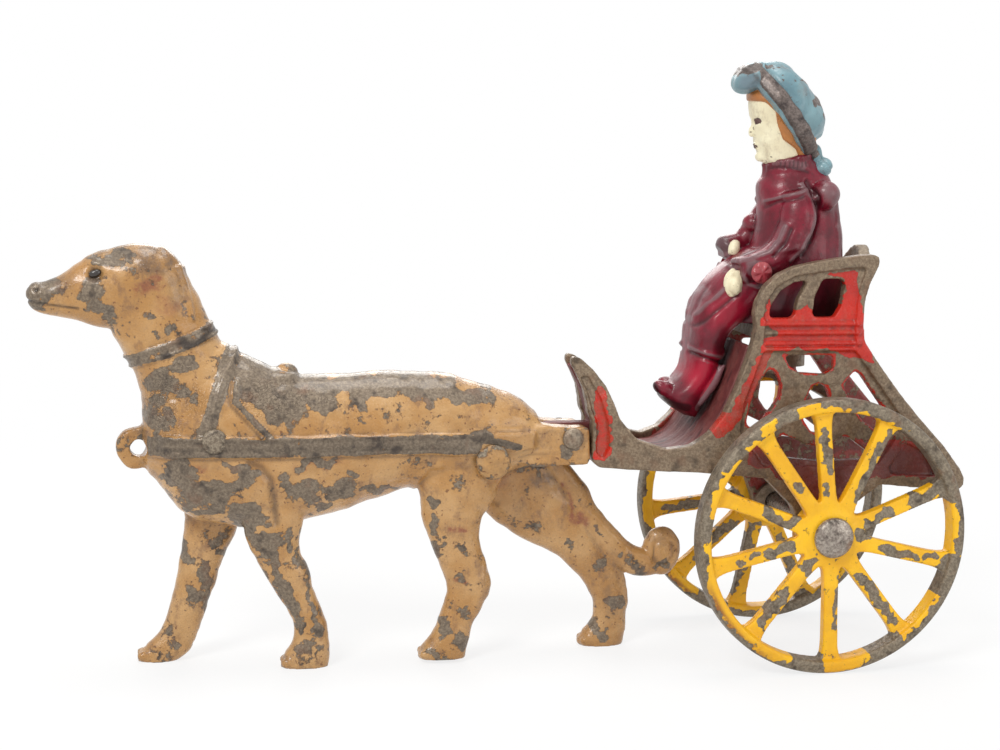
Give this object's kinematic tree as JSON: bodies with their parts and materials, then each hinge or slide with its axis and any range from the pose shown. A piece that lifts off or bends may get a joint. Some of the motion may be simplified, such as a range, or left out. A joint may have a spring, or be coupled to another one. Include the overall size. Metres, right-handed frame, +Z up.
{
  "type": "toy dog cart",
  "caption": "Cast iron toy: a harnessed hound draws an openwork cart on spoked wheels with a seated driver; the wheels roll, the hitch swings and the driver lifts out.",
  "frame": {"origin": "centre of the bounding box's footprint, on the floor the wheels and paws stand on", "axes": "+X from the dog's nose towards the rear of the cart, +Y towards the toy's right side, +Z up"},
  "size_m": [0.1967, 0.0532, 0.1278],
  "materials": {
    "cart_paint": "worn red paint on cast iron",
    "floor_paint": "worn dark red paint on cast iron",
    "wheel_paint": "chipped yellow paint on cast iron",
    "dog_paint": "chipped tan paint on cast iron",
    "dress_paint": "glossy dark red paint on cast iron",
    "bare_iron": "bare, darkened cast iron"
  },
  "bodies": {
    "cart": {"cart_left_side": "cart_paint", "cart_right_side": "cart_paint", "cart_floor": "floor_paint", "seat": "bare_iron", "seat_back": "bare_iron"},
    "dog": {"dog_left_half": "dog_paint", "dog_right_half": "dog_paint", "dog_front_rivet": "dog_paint", "dog_rear_rivet": "dog_paint", "hitch_pin": "bare_iron"},
    "axle": {"axle": "bare_iron"},
    "left_wheel": {"left_wheel": "wheel_paint"},
    "right_wheel": {"right_wheel": "wheel_paint"},
    "driver": {"driver_left_half": "dress_paint", "driver_right_half": "dress_paint", "driver_rivet": "dress_paint", "driver_peg": "bare_iron"}
  },
  "joints": [
    {"name": "hitch_swing", "type": "hinge", "parent": "cart", "child": "dog", "pos_m": [0.01395, 0, 0.048], "axis": [0, 1, 0], "range_deg": [-3, 3]},
    {"name": "axle_spin", "type": "hinge", "parent": "cart", "child": "axle", "pos_m": [0.06605, 0, 0.0293], "axis": [0, 1, 0], "continuous": true},
    {"name": "left_wheel_spin", "type": "hinge", "parent": "axle", "child": "left_wheel", "pos_m": [0.06605, 0, 0.0293], "axis": [0, 1, 0], "continuous": true},
    {"name": "right_wheel_spin", "type": "hinge", "parent": "axle", "child": "right_wheel", "pos_m": [0.06605, 0, 0.0293], "axis": [0, 1, 0], "continuous": true},
    {"name": "driver_lift", "type": "slide", "parent": "cart", "child": "driver", "axis": [0, 0, 1], "range_m": [0, 0.008]}
  ]
}
